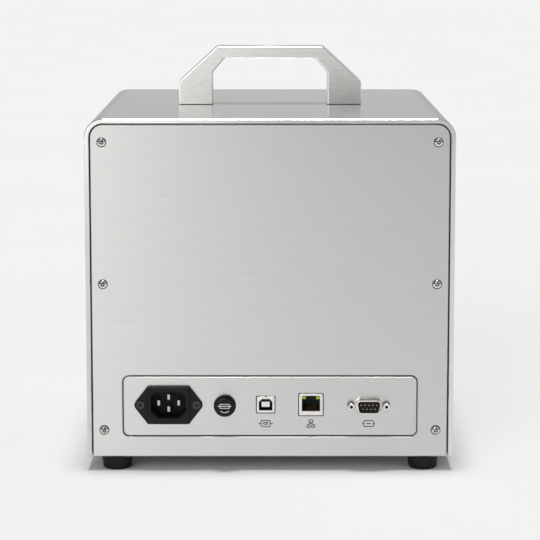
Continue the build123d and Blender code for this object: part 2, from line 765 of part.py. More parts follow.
def io_board():
    board = block(IO_BOARD_X, IO_BOARD_Y, (BOARD_TOP - BOARD_THICKNESS, BOARD_TOP))
    chip = block((20, 34), (-118, -104), (BOARD_TOP, BOARD_TOP + 1.4))
    ribbon_socket = block((-8, 12), (-104, -98), (BOARD_TOP, BOARD_TOP + 7))
    return board + chip + ribbon_socket


def main_board():
    board = block(MAIN_BOARD_X, MAIN_BOARD_Y, (MAIN_BOARD_Z, MAIN_BOARD_Z + BOARD_THICKNESS))
    top = MAIN_BOARD_Z + BOARD_THICKNESS
    for index in range(4):
        y = -60 + 22 * index
        board += block((70, 84), (y, y + 12), (top, top + 2))
    board += block((-4, 0), (-60, -20), (top, top + 8))
    board += block((20, 50), (45, 53), (top, top + 9))
    return board


def processor_heatsink():
    low = MAIN_BOARD_Z + BOARD_THICKNESS
    sink = block((15, 55), (-40, 0), (low, low + 4))
    for index in range(8):
        x = 15.8 + 5.2 * index
        sink += block((x, x + 1.6), (-40, 0), (low + 3.5, low + 20))
    return sink


def power_supply():
    """An open-frame supply: board, transformer, capacitors and a heat spreader."""
    low = 20.0
    supply = block(SUPPLY_X, SUPPLY_Y, (low, low + BOARD_THICKNESS))
    top = low + BOARD_THICKNESS
    supply += block((-90, -58), (-30, 2), (top, top + 26))
    supply += block((-102, -96), (-70, 20), (top, top + 30))
    supply += rod_z(9.0, (top, top + 28), -50, -60)
    supply += rod_z(9.0, (top, top + 28), -72, -60)
    supply += rod_z(6.0, (top, top + 20), -48, 20)
    return supply


def standoffs():
    """Pillars under the boards, the supply and the optical bench."""
    solids = [rod_z(5.0, (FLOOR_TOP, BENCH_Z), x, y) for x in (-106, 106) for y in (-104, 108)]
    for x, y in inset_corners(IO_BOARD_X, IO_BOARD_Y, 5):
        solids.append(rod_z(2.5, (FLOOR_TOP, BOARD_TOP - BOARD_THICKNESS), x, y))
    for x, y in inset_corners(MAIN_BOARD_X, MAIN_BOARD_Y, 5):
        solids.append(rod_z(2.5, (FLOOR_TOP, MAIN_BOARD_Z), x, y))
    for x, y in inset_corners(SUPPLY_X, SUPPLY_Y, 5):
        solids.append(rod_z(2.5, (FLOOR_TOP, 20.0), x, y))
    return group(solids)


# ---------------------------------------------------------------- alignment stages
BENCH_TOP = BENCH_Z + BENCH_THICKNESS
X_BLOCK_LEFT = (-110.0, -104.0)
X_BLOCK_RIGHT = (98.0, 104.0)
X_CARRIAGE_HALF = 42.0
X_CARRIAGE_TOP = X_ROD_Z + 6.5
LIFT_BLOCK_Z = (130.0, 150.0)
YOKE_Z = (205.0, 210.0)
MOTOR_HALF = 17.5
LIFT_ROD_RADIUS = 4.0
LIFT_SCREW_RADIUS = 3.0
DEPTH_ROD_RADIUS = 2.5
DEPTH_SCREW_RADIUS = 2.0


def bench_plate():
    bench = block((-112, 112), (-112, 118), (BENCH_Z, BENCH_TOP))
    bench -= block((-60, 60), (-35, 30), (BENCH_Z - 1, BENCH_TOP + 1))
    return bench


def x_rod_solids():
    return [rod_x(X_ROD_RADIUS, (-110, 104), y, X_ROD_Z) for y in (-X_ROD_Y, X_ROD_Y)]


def x_rail():
    """Two rods in the end blocks that also carry the screw."""
    solids = x_rod_solids()
    for limits in (X_BLOCK_LEFT, X_BLOCK_RIGHT):
        body = block(limits, (-65, 65), (BENCH_TOP, 114))
        body -= rod_x(X_ROD_RADIUS + SLIP, (-115, 110), 0, X_ROD_Z)
        for rod in x_rod_solids():
            body -= rod
        solids.append(body)
    return group(solids)


def x_motor():
    body = block((X_BLOCK_RIGHT[1], 126), (-MOTOR_HALF, MOTOR_HALF), (BENCH_TOP + 0.5, BENCH_TOP + 35.5))
    return body - rod_x(X_ROD_RADIUS + AIR, (100, 120), 0, X_ROD_Z)


def x_screw():
    return rod_x(X_ROD_RADIUS, (-109, 119), 0, X_ROD_Z)


def x_carriage():
    half = X_CARRIAGE_HALF
    body = block((-half, half), (-68, 68), (X_ROD_Z - 6.5, X_CARRIAGE_TOP))
    for y in (-X_ROD_Y, 0, X_ROD_Y):
        body -= rod_x(X_ROD_RADIUS + SLIP, (-half - 1, half + 1), y, X_ROD_Z)
    return body


def lift_column():
    """Two upright rods and the yoke that joins their tops."""
    height = (X_CARRIAGE_TOP, YOKE_Z[1])
    rods = [rod_z(LIFT_ROD_RADIUS, height, x, LIFT_Y) for x in (-LIFT_ROD_X, LIFT_ROD_X)]
    yoke = block((-34, 34), (LIFT_Y - 18, LIFT_Y + 18), YOKE_Z)
    yoke -= rod_z(LIFT_SCREW_RADIUS + SLIP, (YOKE_Z[0] - 1, YOKE_Z[1] + 1), 0, LIFT_Y)
    for rod in rods:
        yoke -= rod
    return group(rods + [yoke])


def lift_motor():
    low = YOKE_Z[1]
    body = block((-MOTOR_HALF, MOTOR_HALF), (LIFT_Y - MOTOR_HALF, LIFT_Y + MOTOR_HALF), (low, low + 22))
    return body - rod_z(LIFT_SCREW_RADIUS + AIR, (low - 1, low + 12), 0, LIFT_Y)


def lift_screw():
    return rod_z(LIFT_SCREW_RADIUS, (X_CARRIAGE_TOP + AIR, YOKE_Z[1] + 11), 0, LIFT_Y)


def depth_rod_solids():
    return [rod_y(DEPTH_ROD_RADIUS, (-26, 98), x, DEPTH_ROD_Z) for x in (-DEPTH_ROD_X, DEPTH_ROD_X)]


def lift_bracket():
    """The lifting block, its shelf under the head, and the two rods for the depth motion."""
    floor = LIFT_BLOCK_Z[0]
    body = block((-31, 31), (LIFT_Y - 10, LIFT_Y + 10), LIFT_BLOCK_Z)
    body += block((-31, 31), (LIFT_Y + 8, 98), (floor, floor + 4))
    for limits in ((-26.0, -20.0), (92.0, 98.0)):
        body += block((-31, 31), limits, (floor + 3, EYE_Z - HEAD_HALF_HEIGHT - 0.6))
    for x in (-LIFT_ROD_X, LIFT_ROD_X):
        body -= rod_z(LIFT_ROD_RADIUS + SLIP, (floor - 10, floor + 30), x, LIFT_Y)
    body -= rod_z(LIFT_SCREW_RADIUS + SLIP, (floor - 10, floor + 30), 0, LIFT_Y)
    body -= rod_y(DEPTH_SCREW_RADIUS + SLIP, (-27, 99), 0, DEPTH_ROD_Z)
    for rod in depth_rod_solids():
        body -= rod
    return group([body] + depth_rod_solids())


def depth_screw():
    return rod_y(DEPTH_SCREW_RADIUS, (-25, 97), 0, DEPTH_ROD_Z)


# ---------------------------------------------------------------- measuring head
HEAD_WALL = 2.0
BARREL_RADIUS = 17.0
BARREL_Y = (88.0, 118.0)
TARGET_ROD_Z = EYE_Z - 15
TARGET_ROD_RADIUS = 1.5


def head_housing():
    """The head's box with its slider below and a seat for the beam splitter inside."""
    half_x = HEAD_HALF_WIDTH
    bottom = EYE_Z - HEAD_HALF_HEIGHT
    top = EYE_Z + HEAD_HALF_HEIGHT
    housing = block((-half_x, half_x), (HEAD_REAR, HEAD_FRONT), (bottom, top))
    inner_x = half_x - HEAD_WALL
    inner_y = (HEAD_REAR + HEAD_WALL, HEAD_FRONT - HEAD_WALL)
    housing -= block((-inner_x, inner_x), inner_y, (bottom + HEAD_WALL, top - HEAD_WALL))
    housing += block((-14, 14), (60, 80), (bottom + 1, EYE_Z - 15))
    saddle = block((-28, 28), (25, 60), (LIFT_BLOCK_Z[0] + 4.5, bottom + 0.5))
    for x in (-DEPTH_ROD_X, DEPTH_ROD_X):
        saddle -= rod_y(DEPTH_ROD_RADIUS + SLIP, (20, 65), x, DEPTH_ROD_Z)
    saddle -= rod_y(DEPTH_SCREW_RADIUS + SLIP, (20, 65), 0, DEPTH_ROD_Z)
    return housing + saddle - rod_y(BARREL_RADIUS, (HEAD_FRONT - 5, HEAD_FRONT + 5), 0, EYE_Z)


def lens_barrel():
    tube = rod_y(BARREL_RADIUS, BARREL_Y, 0, EYE_Z)
    tube -= rod_y(BARREL_RADIUS - 2, (BARREL_Y[0] - 1, BARREL_Y[1] + 1), 0, EYE_Z)
    step = rod_y(BARREL_RADIUS - 1, (100, 102), 0, EYE_Z) - rod_y(13, (99, 103), 0, EYE_Z)
    return tube + step


def objective_lens():
    """A biconvex lens in front of the barrel's step."""
    middle = 106.0
    curve = 45.0
    disc = rod_y(BARREL_RADIUS - 2, (middle - 4, middle + 4), 0, EYE_Z)
    near = Pos(0, middle + 4 - curve, EYE_Z) * Sphere(curve)
    far = Pos(0, middle - 4 + curve, EYE_Z) * Sphere(curve)
    return disc & near & far


def ring_led_solids():
    leds = []
    for index in range(8):
        angle = math.radians(45 * index + 22.5)
        leds.append(rod_y(2.0, (119, 122.5), 18.5 * math.cos(angle), EYE_Z + 18.5 * math.sin(angle)))
    return leds


def light_ring():
    ring = rod_y(23, (118, 121), 0, EYE_Z) - rod_y(14, (117, 122), 0, EYE_Z)
    for led in ring_led_solids():
        ring -= led
    return ring


def beam_splitter():
    return Pos(0, 70, EYE_Z + 1) * Rot(0, 0, 45) * Box(26, 2, 32)


def image_sensor():
    board = block((-15, 15), (HEAD_REAR + HEAD_WALL, 0), (EYE_Z - 14, EYE_Z + 14))
    return board + block((-6, 6), (0, 2.5), (EYE_Z - 5, EYE_Z + 5))


def target_rod_solids():
    return [rod_y(TARGET_ROD_RADIUS, (4, 52), x, TARGET_ROD_Z) for x in (-15, 15)]


def target_rails():
    """Two small rods in their end blocks, on the head's floor."""
    solids = target_rod_solids()
    for low in (4, 49):
        mount = block((-20, 20), (low, low + 3), (EYE_Z - HEAD_HALF_HEIGHT + HEAD_WALL, EYE_Z - 12))
        for rod in target_rod_solids():
            mount -= rod
        solids.append(mount)
    return group(solids)


def target_slide():
    """The fixation target's carrier, which moves along the axis to relax the eye."""
    base = block((-19, 19), (22, 32), (EYE_Z - 18, EYE_Z - 12))
    for x in (-15, 15):
        base -= rod_y(TARGET_ROD_RADIUS + SLIP, (20, 35), x, TARGET_ROD_Z)
    frame = block((-12, 12), (25, 29), (EYE_Z - 13, EYE_Z + 11))
    frame -= rod_y(8, (24, 30), 0, EYE_Z)
    return group([base + frame, rod_y(8, (26, 28), 0, EYE_Z)])


# ---------------------------------------------------------------- patient's side
def window_bezel():
    bezel = along_y(rounded(0, EYE_Z, 166, 92, 13), (FACE_Y, FACE_Y + 2.6))
    bezel = chamfer(bezel.edges().group_by(Axis.Y)[-1], 1.2)
    bezel += along_y(rounded(0, EYE_Z, 151.6, 77.6, 7.8), (BACK_Y - 2, FACE_Y + 0.5))
    bezel -= along_y(rounded(0, EYE_Z, 144, 70, 5), (BACK_Y - 3, FACE_Y + 4))
    return bezel - along_y(rounded(0, EYE_Z, 148, 74, 6), (BACK_Y - 3, FACE_Y - 0.6))


def window_glass():
    return along_y(rounded(0, EYE_Z, 148, 74, 6), (BACK_Y - 2, FACE_Y - 0.6))


def forehead_screw_places():
    return [(x, FOREHEAD_Z) for x in (-45.0, 45.0)]


def forehead_bracket():
    """A bar on two stand-offs that carries the pad."""
    bar = block((-70, 70), (FACE_Y + 20, FACE_Y + 24), (FOREHEAD_Z - 11, FOREHEAD_Z + 11))
    bar = fillet(bar.edges().filter_by(Axis.Y), 8)
    for x, z in forehead_screw_places():
        bar += rod_y(7, (FACE_Y, FACE_Y + 21), x, z)
        bar -= rod_y(2.0, (FACE_Y - 1, FACE_Y + 12), x, z)
    return bar


def forehead_pad():
    """The soft pad as a plain rounded cushion."""
    pad = block((-66, 66), (FACE_Y + 24, FACE_Y + 38), (FOREHEAD_Z - 12, FOREHEAD_Z + 12))
    pad = fillet(pad.edges().filter_by(Axis.Y), 9)
    return fillet(pad.edges().group_by(Axis.Y)[-1], 5)


def chin_plate_screw_places():
    return [(x, z) for x in (-22.0, 22.0) for z in (24.0, 96.0)]


def bracket_screw_solids():
    """Screws from inside the front panel into the forehead bracket and the chin frame."""
    solids = []
    for reach, places in ((12, forehead_screw_places()), (4, chin_plate_screw_places())):
        for x, z in places:
            head = rod_y(4.0, (BACK_Y - 3, BACK_Y), x, z)
            solids.append(head + rod_y(2.0, (BACK_Y - 0.5, FACE_Y + reach), x, z))
    return solids


def chin_rod_solids():
    top = CHIN_TOP_BRACKET_Z + 6
    return [rod_z(CHIN_ROD_RADIUS, (14, top), x, CHIN_Y) for x in (-CHIN_ROD_X, CHIN_ROD_X)]


def chin_plate():
    plate = block((-32, 32), (FACE_Y, FACE_Y + 4), (14, 110))
    plate = fillet(plate.edges().filter_by(Axis.Y), 4)
    for screw in bracket_screw_solids():
        plate -= screw
    return plate


def chin_shelf_solids():
    """The lower and upper shelves that hold the two rods."""
    shelves = []
    for bottom in (14.0, CHIN_TOP_BRACKET_Z):
        shelf = block((-28, 28), (FACE_Y + 4, CHIN_Y + 10), (bottom, bottom + 6))
        shelf = fillet(shelf.edges().filter_by(Axis.Z).group_by(Axis.Y)[-1], 6)
        shelf -= rod_z(CHIN_SCREW_RADIUS + SLIP, (bottom - 1, bottom + 7), 0, CHIN_Y)
        for rod in chin_rod_solids():
            shelf -= rod
        shelves.append(shelf)
    return shelves


def chin_carriage():
    """The sliding block and the arm that carries the chin cup."""
    top = CHIN_REST_Z + CHIN_BLOCK_HEIGHT
    body = block((-27, 27), (CHIN_Y - 9, CHIN_Y + 9), (CHIN_REST_Z, top))
    body = fillet(body.edges().filter_by(Axis.Z), 2)
    body += block((-12, 12), (CHIN_Y + 8, CHIN_Y + 36), (CHIN_REST_Z, CHIN_REST_Z + 6))
    for x in (-CHIN_ROD_X, CHIN_ROD_X):
        body -= rod_z(CHIN_ROD_RADIUS + SLIP, (CHIN_REST_Z - 1, top + 1), x, CHIN_Y)
    return body - rod_z(CHIN_SCREW_RADIUS + SLIP, (CHIN_REST_Z - 1, top + 1), 0, CHIN_Y)


def chin_cup():
    """A shallow dish, lower at its middle, on the carriage's arm."""
    low = CHIN_REST_Z + 6
    cup = Pos(0, CHIN_CUP_Y, low + CHIN_CUP_SIZE[2] / 2) * Box(*CHIN_CUP_SIZE)
    cup = fillet(cup.edges().filter_by(Axis.Z), 14)
    cup = fillet(cup.edges().group_by(Axis.Z)[0], 4)
    saddle = Pos(0, CHIN_CUP_Y, low + 48) * Rot(90, 0, 0) * Cylinder(42, 60)
    inside = Pos(0, CHIN_CUP_Y, low + 12) * Box(56, 32, 16)
    inside = fillet(inside.edges().filter_by(Axis.Z), 10)
    inside = fillet(inside.edges().group_by(Axis.Z)[0], 5)
    return cup - saddle - inside


def chin_knob():
    """The knurled knob and its lifting screw, one turned piece."""
    low = CHIN_TOP_BRACKET_Z + 6 + AIR
    knob = rod_z(12.0, (low, low + 9), 0, CHIN_Y)
    knob = chamfer(knob.edges().group_by(Axis.Z)[-1], 1)
    for index in range(30):
        angle = math.radians(12 * index)
        knob -= rod_z(0.8, (low - 1, low + 10), 12.2 * math.cos(angle), CHIN_Y + 12.2 * math.sin(angle))
    return knob + rod_z(CHIN_SCREW_RADIUS, (14.5, low + 1), 0, CHIN_Y)


def power_switch():
    """The button's ring, its guide and the switch body behind it."""
    ring = rod_y(12, (FACE_Y, FACE_Y + 1.8), BUTTON_X, BUTTON_Z)
    ring = chamfer(ring.edges().group_by(Axis.Y)[-1], 0.8)
    ring += rod_y(BUTTON_BORE, (BACK_Y - 9, FACE_Y + 0.5), BUTTON_X, BUTTON_Z)
    ring += rod_y(BUTTON_BORE + 1.5, (BACK_Y - 24, BACK_Y), BUTTON_X, BUTTON_Z)
    return ring - rod_y(BUTTON_RADIUS + SLIP, (BACK_Y - 8.5, FACE_Y + 3), BUTTON_X, BUTTON_Z)


def power_button():
    button = rod_y(BUTTON_RADIUS, (BACK_Y - 5, FACE_Y + 3.0), BUTTON_X, BUTTON_Z)
    return fillet(button.edges().group_by(Axis.Y)[-1], 0.8)


def status_light():
    lens = rod_y(2.0, (BACK_Y - 5, FACE_Y + 0.6), BUTTON_X, BUTTON_Z + LIGHT_RISE)
    return fillet(lens.edges().group_by(Axis.Y)[-1], 0.5)


# ---------------------------------------------------------------- every node, by name
def all_nodes():
    return {
        "outer_cover": outer_cover(),
        "rear_panel": rear_panel(),
        "front_panel": front_panel(),
        "base_plate": base_plate(),
        "inner_frame": group(post_solids() + rail_solids() + [handle_bridge()]),
        "carry_handle": carry_handle(),
        "frame_screws": group(hidden_screw_solids()),
        "panel_screws": panel_screws(),
        "rubber_feet": rubber_feet(),
        "connector_plate": connector_plate(),
        "rear_nuts": group(plate_nut_solids() + [fuse_nut()]),
        "inlet_body": inlet_body(),
        "inlet_blades": group(blade_solids()),
        "inlet_screws": inlet_screws(),
        "fuse_holder": fuse_holder(),
        "fuse_contact": fuse_contact(),
        "fuse_cap": fuse_cap(),
        "fuse_link": group([fuse_glass()] + fuse_end_solids()),
        "usb_shell": usb_shell(),
        "usb_tongue": usb_tongue(),
        "port_contacts": group([usb_contacts(), network_contacts()]),
        "network_shield": network_shield(),
        "network_housing": network_housing(),
        "network_lights": network_lights(),
        "serial_shell": serial_shell(),
        "serial_insulator": serial_insulator(),
        "serial_pins": serial_pins(),
        "serial_jackscrews": jackscrews(),
        "circuit_boards": group([io_board(), main_board(), processor_heatsink()]),
        "power_supply": power_supply(),
        "standoffs": standoffs(),
        "bench_plate": bench_plate(),
        "x_rail": x_rail(),
        "x_motor": x_motor(),
        "x_screw": x_screw(),
        "x_carriage": x_carriage(),
        "lift_column": lift_column(),
        "lift_motor": lift_motor(),
        "lift_screw": lift_screw(),
        "lift_bracket": lift_bracket(),
        "depth_screw": depth_screw(),
        "head_housing": head_housing(),
        "lens_barrel": lens_barrel(),
        "objective_lens": objective_lens(),
        "light_ring": group([light_ring()] + ring_led_solids()),
        "beam_splitter": beam_splitter(),
        "image_sensor": image_sensor(),
        "target_rails": target_rails(),
        "target_slide": target_slide(),
        "window_bezel": window_bezel(),
        "window_glass": window_glass(),
        "forehead_bracket": forehead_bracket(),
        "forehead_pad": forehead_pad(),
        "chin_frame": group([chin_plate()] + chin_shelf_solids() + chin_rod_solids()),
        "chin_carriage": chin_carriage(),
        "chin_cup": chin_cup(),
        "chin_knob": chin_knob(),
        "power_switch": power_switch(),
        "power_button": power_button(),
        "status_light": status_light(),
    }


# the whole object reaches from the fuse cap at the rear to the chin cup's far edge
ORIGIN_Y = (FUSE_CAP_FRONT + CHIN_CUP_Y + CHIN_CUP_SIZE[1] / 2) / 2


def placed(shape):
    """The shape moved to the origin under the whole object, solid by solid."""
    shift = Location((0, -ORIGIN_Y, 0))
    return group([solid.moved(shift) for solid in shape.solids()])


os.makedirs("parts", exist_ok=True)
for node_name, node_shape in all_nodes().items():
    export_step(placed(node_shape), os.path.join("parts", node_name + ".step"))
    print(node_name, len(node_shape.solids()), round(node_shape.volume, 1))
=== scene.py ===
"""The looks of a table-top autorefractor: materials, printed symbols, the soft pad, light and camera.

Metres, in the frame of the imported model: +X right seen from the rear, +Y to the patient, +Z up.
"""
import json
import math

import bmesh
import bpy
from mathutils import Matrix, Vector


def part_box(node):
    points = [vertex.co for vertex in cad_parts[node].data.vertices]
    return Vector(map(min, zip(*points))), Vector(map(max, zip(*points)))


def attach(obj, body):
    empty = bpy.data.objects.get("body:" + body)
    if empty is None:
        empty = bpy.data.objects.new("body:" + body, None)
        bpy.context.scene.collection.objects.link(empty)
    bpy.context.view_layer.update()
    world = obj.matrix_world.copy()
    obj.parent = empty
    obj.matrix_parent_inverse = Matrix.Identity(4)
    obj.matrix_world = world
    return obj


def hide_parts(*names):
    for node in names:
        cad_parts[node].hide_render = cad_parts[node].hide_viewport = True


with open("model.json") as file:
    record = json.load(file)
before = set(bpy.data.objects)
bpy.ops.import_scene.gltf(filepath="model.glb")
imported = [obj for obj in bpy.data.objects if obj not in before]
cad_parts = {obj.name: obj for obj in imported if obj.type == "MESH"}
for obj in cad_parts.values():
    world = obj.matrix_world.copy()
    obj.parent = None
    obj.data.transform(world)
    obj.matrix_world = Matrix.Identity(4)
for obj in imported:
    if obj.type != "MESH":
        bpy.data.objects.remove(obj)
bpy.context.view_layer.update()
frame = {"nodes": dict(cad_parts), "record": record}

MM = 0.001
SCENE = bpy.context.scene


# ---------------------------------------------------------------- node graphs
class Nodes:
    """The nodes that feed one shader, added by short calls that return an output socket."""

    def __init__(self, tree, shader):
        self.tree = tree
        self.shader = tree.nodes[shader]

    def set(self, socket, value):
        self.shader.inputs[socket].default_value = value

    def link(self, output, socket):
        self.tree.links.new(output, self.shader.inputs[socket])

    def add(self, kind, inputs=None, **attributes):
        node = self.tree.nodes.new(kind)
        for name, value in attributes.items():
            setattr(node, name, value)
        for name, value in (inputs or {}).items():
            if isinstance(value, bpy.types.NodeSocket):
                self.tree.links.new(value, node.inputs[name])
            else:
                node.inputs[name].default_value = value
        return node

    def math(self, operation, first, second=0.0, third=0.0):
        values = {0: first, 1: second, 2: third}
        return self.add("ShaderNodeMath", values, operation=operation).outputs[0]


class Graph(Nodes):
    """One material's nodes."""

    def __init__(self, name, metallic=0.0, roughness=0.5):
        self.material = bpy.data.materials.new(name)
        self.material.use_nodes = True
        super().__init__(self.material.node_tree, "Principled BSDF")
        self.set("Metallic", metallic)
        self.set("Roughness", roughness)

    def place(self, stretch=(1, 1, 1)):
        """The surface's position in metres, stretched along each axis."""
        coordinates = self.add("ShaderNodeTexCoord")
        values = {"Vector": coordinates.outputs["Object"], "Scale": stretch}
        mapping = self.add("ShaderNodeMapping", values)
        return mapping.outputs["Vector"]

    def noise(self, place, scale, detail=3.0, roughness=0.55):
        values = {"Vector": place, "Scale": scale, "Detail": detail, "Roughness": roughness}
        return self.add("ShaderNodeTexNoise", values).outputs["Fac"]

    def spread(self, value, low, high, from_low=0.3, from_high=0.7):
        """A value brought from one range to another."""
        values = {"Value": value, "To Min": low, "To Max": high}
        values.update({"From Min": from_low, "From Max": from_high})
        return self.add("ShaderNodeMapRange", values).outputs["Result"]

    def blend(self, factor, first, second):
        """A colour between two, by a factor."""
        node = self.add("ShaderNodeMix", data_type="RGBA")
        self.tree.links.new(factor, node.inputs[0])
        node.inputs[6].default_value = (*first, 1)
        node.inputs[7].default_value = (*second, 1)
        return node.outputs[2]

    def sum(self, first, second, share=0.5):
        """Two values added in the given shares."""
        return self.math("MULTIPLY_ADD", second, 1 - share, self.math("MULTIPLY", first, share))

    def bump(self, height, distance, strength=1.0):
        values = {"Height": height, "Distance": distance, "Strength": strength}
        self.link(self.add("ShaderNodeBump", values).outputs["Normal"], "Normal")


def shades(color, spread):
    """A darker and a lighter version of a colour."""
    factors = (1 - spread, 1 + spread)
    return [tuple(min(channel * factor, 1.0) for channel in color) for factor in factors]


# ---------------------------------------------------------------- materials
# waves a metre along and across the brushing
SCRATCHES = (45.0, 2200.0)
STREAKS = (30.0, 900.0)


def grain_stretch(waves, across):
    """The stretch of a brushed grain, which is fine on one axis only."""
    along_grain, across_grain = waves
    return [across_grain if axis == across else along_grain for axis in "XYZ"]


def brushed_metal(name, color, across, roughness, tangent_axis):
    """Sheet brushed in one direction: fine scratches, longer streaks and faint handling marks."""
    graph = Graph(name, metallic=1.0)
    fine = graph.noise(graph.place(grain_stretch(SCRATCHES, across)), 1.0, detail=5.0, roughness=0.7)
    streaks = graph.noise(graph.place(grain_stretch(STREAKS, across)), 1.0, detail=4.0)
    marks = graph.noise(graph.place(), 14.0, detail=4.0)
    grain = graph.sum(fine, streaks, 0.7)
    dark, light = shades(color, 0.04)
    graph.link(graph.blend(graph.spread(grain, 0.0, 1.0, 0.35, 0.65), dark, light), "Base Color")
    uneven = graph.sum(fine, marks, 0.8)
    graph.link(graph.spread(uneven, roughness - 0.02, roughness + 0.02), "Roughness")
    graph.bump(fine, 0.00002, 0.04)
    graph.set("Anisotropic", 0.75)
    graph.set("Anisotropic Rotation", 0.25)
    tangent = graph.add("ShaderNodeTangent", direction_type="RADIAL", axis=tangent_axis)
    graph.link(tangent.outputs["Tangent"], "Tangent")
    return graph.material


def polished_metal(name, color, roughness=0.14):
    """Turned and polished metal with faint haze and small scratches."""
    graph = Graph(name, metallic=1.0)
    haze = graph.noise(graph.place(), 900.0, detail=3.0)
    scratches = graph.noise(graph.place((2600.0, 400.0, 2600.0)), 1.0, detail=2.0)
    dark, light = shades(color, 0.06)
    graph.link(graph.blend(graph.spread(haze, 0.0, 1.0), dark, light), "Base Color")
    graph.link(graph.spread(graph.sum(haze, scratches), roughness - 0.05, roughness + 0.08), "Roughness")
    graph.bump(scratches, 0.000008, 0.4)
    return graph.material


def plated_sheet(name, color, roughness=0.32):
    """Tin or zinc plating: soft cloudy lustre over stamped sheet."""
    graph = Graph(name, metallic=1.0)
    cloud = graph.noise(graph.place(), 260.0, detail=5.0)
    speckle = graph.noise(graph.place(), 2400.0, detail=2.0)
    dark, light = shades(color, 0.10)
    graph.link(graph.blend(graph.spread(cloud, 0.0, 1.0), dark, light), "Base Color")
    graph.link(graph.spread(graph.sum(cloud, speckle), roughness - 0.08, roughness + 0.10), "Roughness")
    graph.bump(speckle, 0.00001, 0.3)
    return graph.material


def moulded_plastic(name, color, roughness=0.45, grain=1500.0, depth=0.00003):
    """Moulded plastic with a spark-eroded grain and slightly uneven gloss."""
    graph = Graph(name)
    texture = graph.noise(graph.place(), grain, detail=3.0, roughness=0.6)
    flow = graph.noise(graph.place(), 45.0, detail=3.0)
    dark, light = shades(color, 0.12)
    graph.link(graph.blend(graph.spread(graph.sum(texture, flow), 0.0, 1.0), dark, light), "Base Color")
    graph.link(graph.spread(graph.sum(texture, flow), roughness - 0.07, roughness + 0.09), "Roughness")
    graph.bump(texture, depth, 0.5)
    graph.set("Specular IOR Level", 0.2)
    return graph.material


def foot_rubber(name, color):
    """Matt rubber with a fine bloom and specks of dust."""
    graph = Graph(name)
    bloom = graph.noise(graph.place(), 90.0, detail=5.0)
    skin = graph.noise(graph.place(), 1900.0, detail=3.0)
    dark, light = shades(color, 0.25)
    graph.link(graph.blend(graph.spread(bloom, 0.0, 1.0), dark, light), "Base Color")
    graph.link(graph.spread(graph.sum(bloom, skin), 0.48, 0.68), "Roughness")
    graph.set("Specular IOR Level", 0.25)
    graph.bump(skin, 0.00004, 0.5)
    return graph.material


def pad_skin(name, color):
    """Grained synthetic leather: irregular cells with creases between them."""
    graph = Graph(name)
    values = {"Vector": graph.place(), "Scale": 620.0}
    cells = graph.add("ShaderNodeTexVoronoi", values, feature="DISTANCE_TO_EDGE")
    crease = graph.spread(cells.outputs["Distance"], 0.0, 1.0, 0.0, 0.18)
    cloud = graph.noise(graph.place(), 60.0, detail=4.0)
    dark, light = shades(color, 0.3)
    # the base colour is darker along the creases between the cells, a painted shade; the cloud varies it
    # at random
    graph.link(graph.blend(graph.sum(crease, cloud, 0.6), dark, light), "Base Color")
    graph.link(graph.spread(graph.sum(crease, cloud), 0.62, 0.42, 0.2, 0.9), "Roughness")
    graph.bump(crease, 0.00012, 0.6)
    graph.set("Sheen Weight", 0.15)
    return graph.material


def dark_glass(name, color):
    """Filter glass that looks nearly black, with a violet tinge and faint smears."""
    graph = Graph(name, roughness=0.05)
    smears = graph.noise(graph.place((6.0, 6.0, 26.0)), 1.0, detail=5.0)
    dark, light = shades(color, 0.2)
    graph.link(graph.blend(graph.spread(smears, 0.0, 1.0), dark, light), "Base Color")
    graph.link(graph.spread(smears, 0.03, 0.09), "Roughness")
    graph.set("Coat Weight", 0.2)
    graph.set("Coat Roughness", 0.03)
    return graph.material


def coated_glass(name, color):
    graph = Graph(name, roughness=0.02)
    smears = graph.noise(graph.place(), 80.0, detail=3.0)
    dark, light = shades(color, 0.05)
    graph.link(graph.blend(graph.spread(smears, 0.0, 1.0), dark, light), "Base Color")
    graph.set("Transmission Weight", 0.9)
    graph.set("IOR", 1.5)
    return graph.material


def lens_light(name, color, strength):
    """A translucent coloured light, brightest in its middle grain."""
    graph = Graph(name, roughness=0.25)
    cloud = graph.noise(graph.place(), 900.0, detail=2.0)
    dark, light = shades(color, 0.25)
    graph.link(graph.blend(graph.spread(cloud, 0.0, 1.0), dark, light), "Base Color")
    graph.set("Emission Color", (*color, 1))
    graph.set("Emission Strength", strength)
    graph.set("Coat Weight", 0.5)
    return graph.material


def circuit_board(name, color):
    """Solder mask with the faint pattern of tracks under it."""
    graph = Graph(name, roughness=0.35)
    values = {"Vector": graph.place(), "Scale": 90.0, "Mortar Size": 0.03}
    brick = graph.add("ShaderNodeTexBrick", values)
    weave = graph.noise(graph.place(), 700.0)
    dark, light = shades(color, 0.25)
    graph.link(graph.blend(graph.sum(brick.outputs["Fac"], weave, 0.5), dark, light), "Base Color")
    graph.bump(weave, 0.00003, 0.4)
    return graph.material


def satin_anodised(name, color, roughness=0.38):
    """Bead-blasted, anodised aluminium."""
    graph = Graph(name, metallic=0.85)
    beads = graph.noise(graph.place(), 2200.0, detail=2.0)
    cloud = graph.noise(graph.place(), 40.0, detail=4.0)
    dark, light = shades(color, 0.10)
    graph.link(graph.blend(graph.spread(graph.sum(beads, cloud), 0.0, 1.0), dark, light), "Base Color")
    graph.link(graph.spread(graph.sum(beads, cloud), roughness - 0.05, roughness + 0.07), "Roughness")
    graph.bump(beads, 0.00001, 0.4)
    return graph.material


def ink(name, color):
    """Screen-printed ink, a little uneven at its edges."""
    graph = Graph(name, roughness=0.5)
    cover = graph.noise(graph.place(), 3000.0, detail=2.0)
    dark, light = shades(color, 0.12)
    graph.link(graph.blend(graph.spread(cover, 0.0, 1.0), dark, light), "Base Color")
    return graph.material


STEEL = (0.70, 0.695, 0.685)


